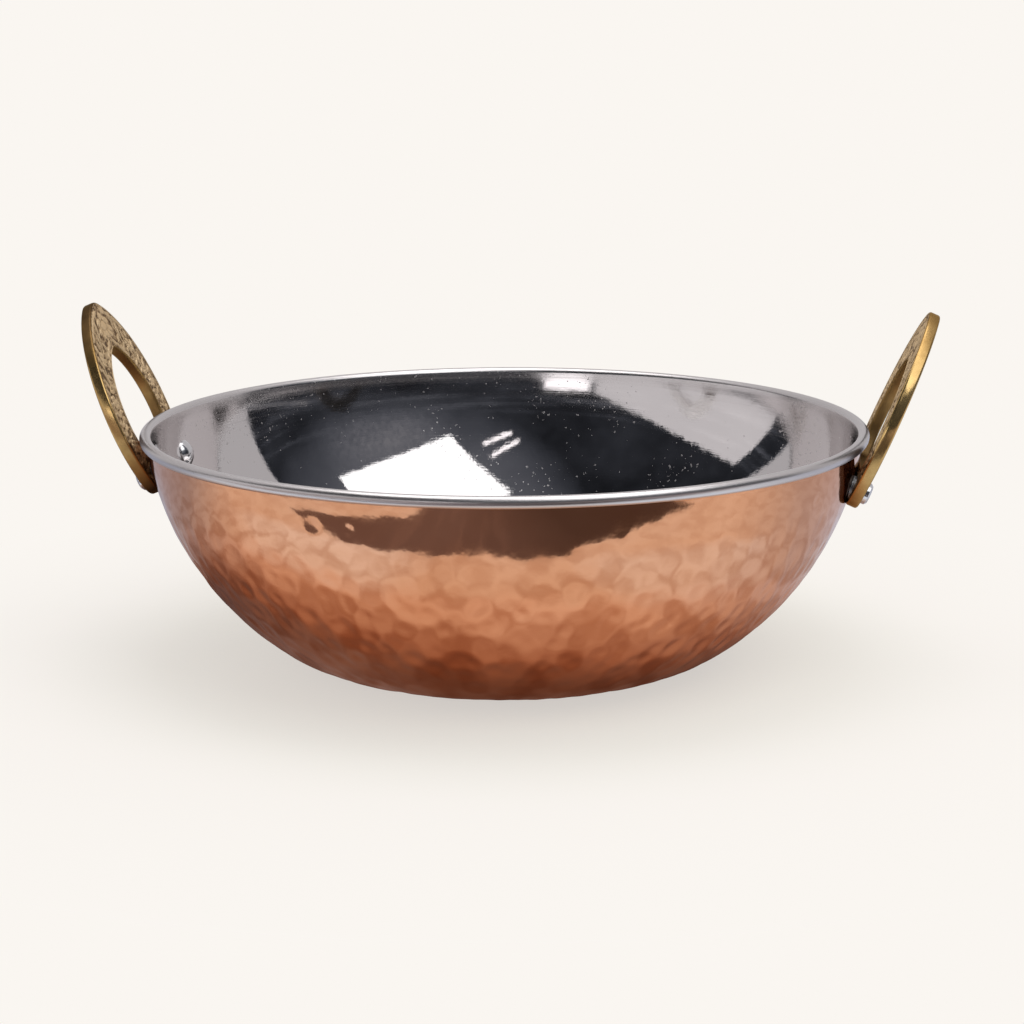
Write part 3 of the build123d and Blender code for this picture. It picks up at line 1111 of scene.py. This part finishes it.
def room_level(nodes, direction, depth):
    """How bright the metal shows the room: light walls, a dark front side, and the lamps in it."""
    x, y, z = nodes.split(direction)
    to_degrees = 180 / math.pi
    azimuth = nodes.product(nodes.math("ARCTAN2", x, nodes.product(y, -1.0)), to_degrees)
    elevation = nodes.product(nodes.math("ARCSINE", z), to_degrees)
    left_end = nodes.rise(nodes.past_line(azimuth, elevation, 0.79, -116.8), -0.7, 0.7)
    front = nodes.product(left_end, nodes.fall(azimuth, 106.1, 107.3))
    level = nodes.between(front, wall_level, room_gloom(nodes, direction, azimuth, elevation))

    card = light_card(nodes, direction, azimuth, elevation)
    upright = nodes.band(elevation, *window_elevation, 0.4)
    window = nodes.product(nodes.band(azimuth, *window_azimuth, 0.4), upright)
    level = nodes.total(level, nodes.product(card, card_level), nodes.product(window, window_level))
    for start, end, soft, slope, offset, half_width, strength in lamp_strips:
        aside = nodes.past_line(elevation, azimuth, slope, offset)
        across = nodes.band(aside, -half_width, half_width, 0.3)
        strip = nodes.product(nodes.band(azimuth, start, end, soft), across)
        level = nodes.total(level, nodes.product(strip, strength))

    toward_key = nodes.add("ShaderNodeVectorMath", operation="DOT_PRODUCT")
    nodes.feed(toward_key.inputs[0], direction)
    toward_key.inputs[1].default_value = Vector(key_centre).normalized()
    key = nodes.remap(toward_key.outputs["Value"], 0.66, 1.0, 0.0, 0.17)
    ceiling = nodes.remap(elevation, 58.0, 72.0, 0.0, 0.6)
    mirrored = nodes.product(seen_twice(nodes, azimuth, elevation, depth), mirrored_level)
    return nodes.math("MAXIMUM", nodes.total(level, key, ceiling), mirrored)


def make_world():
    """Pale backdrop for the camera, soft light, and the room that the metal shows."""
    world = bpy.data.worlds.new("studio")
    bpy.context.scene.world = world
    world.use_nodes = True
    world.node_tree.nodes.clear()
    nodes = Nodes(world.node_tree)
    kind = "ShaderNodeBackground"
    direction = nodes.add("ShaderNodeTexCoord").outputs["Generated"]
    rays = nodes.rays()
    level = room_level(nodes, direction, rays["Glossy Depth"])
    room = nodes.glow(kind, nodes.ramp(level, room_tints), level)
    lit = nodes.blend(rays["Is Glossy Ray"], nodes.glow(kind, soft_light, soft_level), room)
    seen = nodes.blend(rays["Is Camera Ray"], lit, nodes.glow(kind, cream, 1.0))
    output = nodes.add("ShaderNodeOutputWorld")
    nodes.feed(output.inputs["Surface"], seen)


def make_softbox(name, centre, across, up, width, height, power):
    """Rectangular area light that faces the bowl."""
    data = bpy.data.lights.new(name, "AREA")
    data.shape = "RECTANGLE"
    data.size, data.size_y = width, height
    data.energy = power
    across, up = Vector(across).normalized(), Vector(up).normalized()
    up = (up - across * up.dot(across)).normalized()
    away = across.cross(up)
    if away.dot(Vector(centre)) < 0:
        across, away = -across, -away
    lamp = bpy.data.objects.new(name, data)
    lamp.matrix_world = Matrix.Translation(centre) @ Matrix((across, up, away)).transposed().to_4x4()
    bpy.context.scene.collection.objects.link(lamp)


def make_lights():
    """A key softbox at the right front and a wide soft light overhead."""
    key_across, key_up = (0.562, 0.824, 0.158), (-0.520, 0.250, 0.563)
    make_softbox("key", key_centre, key_across, key_up, width=1.065, height=0.81, power=4.6)
    make_softbox("overhead", (0, 0.1, 1.7), (1, 0, 0), (0, 1, 0), width=1.6, height=1.2, power=10.5)


def finish_fasteners():
    """Give the rivets and the collars, which keep their turned shapes, their steels; the collars' steel is a
    darker grey, painted shade behind the handle plates.
    """
    polished = rivet_material("rivet_polished", grey=0.7, low=0.1, high=0.24)
    # The collars' darker grey is painted shade in the gap behind the handle plates
    shaded_collar_steel = rivet_material("collar_painted_shade", grey=0.3, low=0.3, high=0.5)
    for name, node in frame["nodes"].items():
        if name.startswith(("rivet", "collar")):
            node.material_slots[0].material = shaded_collar_steel if name.startswith("collar") else polished


brass = brass_material()
make_outer_shell(copper_material())
make_inner_bowl(steel_material())
make_handle(side=1, material=brass, seed=31)
make_handle(side=-1, material=brass, seed=52)
finish_fasteners()

make_floor()
make_world()
make_lights()
make_camera()
bpy.context.scene.view_settings.view_transform = "Standard"
